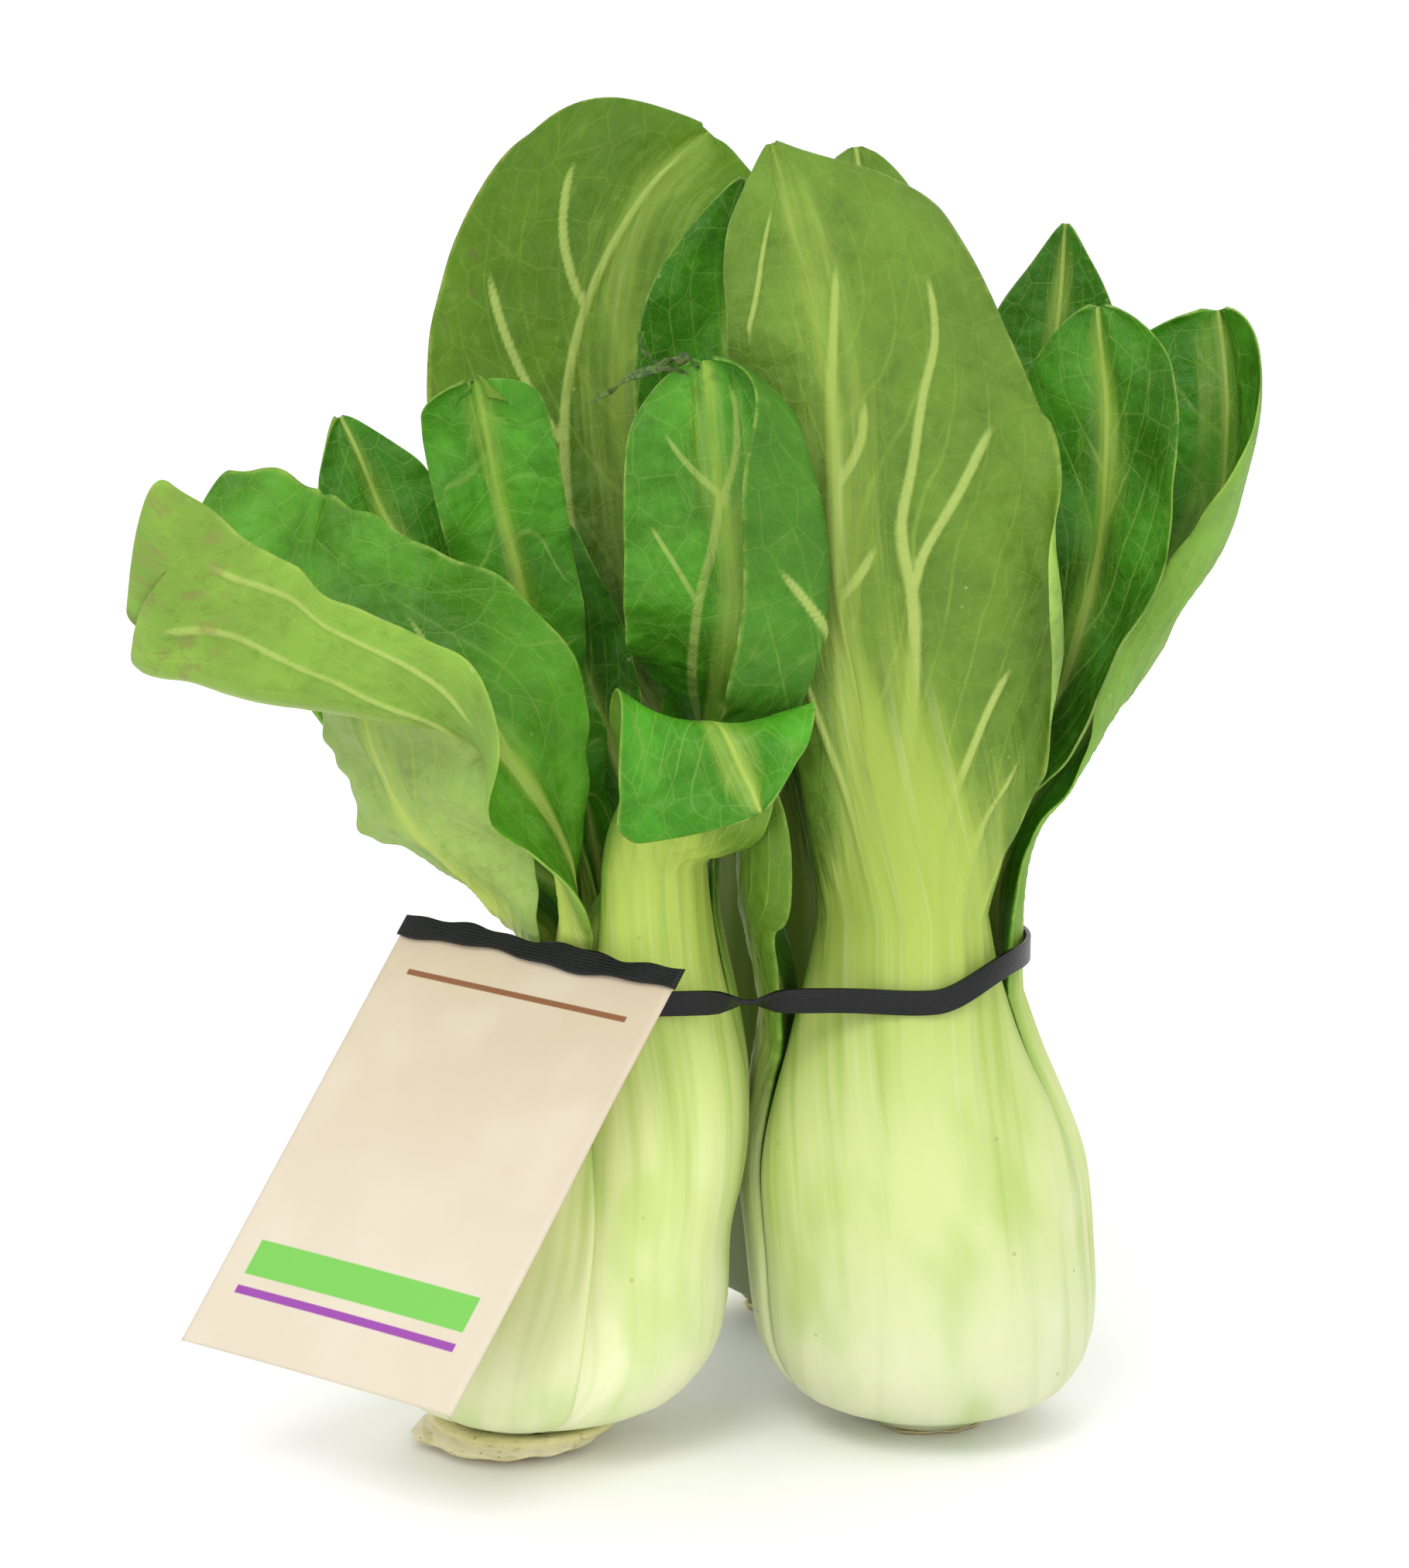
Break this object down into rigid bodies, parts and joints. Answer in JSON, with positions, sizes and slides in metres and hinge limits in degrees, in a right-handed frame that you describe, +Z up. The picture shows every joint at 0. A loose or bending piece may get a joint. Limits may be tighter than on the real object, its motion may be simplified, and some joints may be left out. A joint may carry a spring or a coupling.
{
  "type": "bok choy bunch",
  "caption": "Bunch of baby bok choy heads with swollen pale stalks and broad green leaves, held by an elastic band with a blank card tag, standing on its cut ends.",
  "frame": {"origin": "under the middle of the whole bunch's bounding box, on the surface it stands on", "axes": "+Z up the bunch, -Y towards the side with the tag, +X to the right when the tag's side is faced"},
  "size_m": [0.178, 0.1412, 0.2132],
  "materials": {
    "stalk": "smooth waxy stalk tissue, pale yellow-green",
    "blade": "satin leaf tissue, mid green",
    "stem": "moist cut stem, cream",
    "band": "flat glossy elastic, black",
    "card": "smooth printed card, cream"
  },
  "bodies": {
    "root": {"right_leaf_1_stalk": "stalk", "right_leaf_1_blade": "blade", "right_leaf_2_stalk": "stalk", "right_leaf_2_blade": "blade", "right_leaf_3_stalk": "stalk", "right_leaf_3_blade": "blade", "right_leaf_4_stalk": "stalk", "right_leaf_4_blade": "blade", "right_leaf_5_stalk": "stalk", "right_leaf_5_blade": "blade", "right_leaf_6_stalk": "stalk", "right_leaf_6_blade": "blade", "right_leaf_7_stalk": "stalk", "right_leaf_7_blade": "blade", "right_leaf_8_stalk": "stalk", "right_leaf_8_blade": "blade", "right_leaf_9_stalk": "stalk", "right_leaf_9_blade": "blade", "left_leaf_1_stalk": "stalk", "left_leaf_1_blade": "blade", "left_leaf_2_stalk": "stalk", "left_leaf_2_blade": "blade", "left_leaf_3_stalk": "stalk", "left_leaf_3_blade": "blade", "left_leaf_4_stalk": "stalk", "left_leaf_4_blade": "blade", "left_leaf_5_stalk": "stalk", "left_leaf_5_blade": "blade", "left_leaf_6_stalk": "stalk", "left_leaf_6_blade": "blade", "left_leaf_7_stalk": "stalk", "left_leaf_7_blade": "blade", "left_leaf_8_stalk": "stalk", "left_leaf_8_blade": "blade", "left_leaf_9_stalk": "stalk", "left_leaf_9_blade": "blade", "left_leaf_10_stalk": "stalk", "left_leaf_10_blade": "blade", "back_leaf_1_stalk": "stalk", "back_leaf_1_blade": "blade", "back_leaf_2_stalk": "stalk", "back_leaf_2_blade": "blade", "back_leaf_3_stalk": "stalk", "back_leaf_3_blade": "blade", "back_leaf_4_stalk": "stalk", "back_leaf_4_blade": "blade", "back_leaf_5_stalk": "stalk", "back_leaf_5_blade": "blade", "back_leaf_6_stalk": "stalk", "back_leaf_6_blade": "blade", "right_stem": "stem", "left_stem": "stem", "back_stem": "stem", "elastic_band": "band", "tag_card": "card", "tag_strip": "band"}
  },
  "joints": []
}
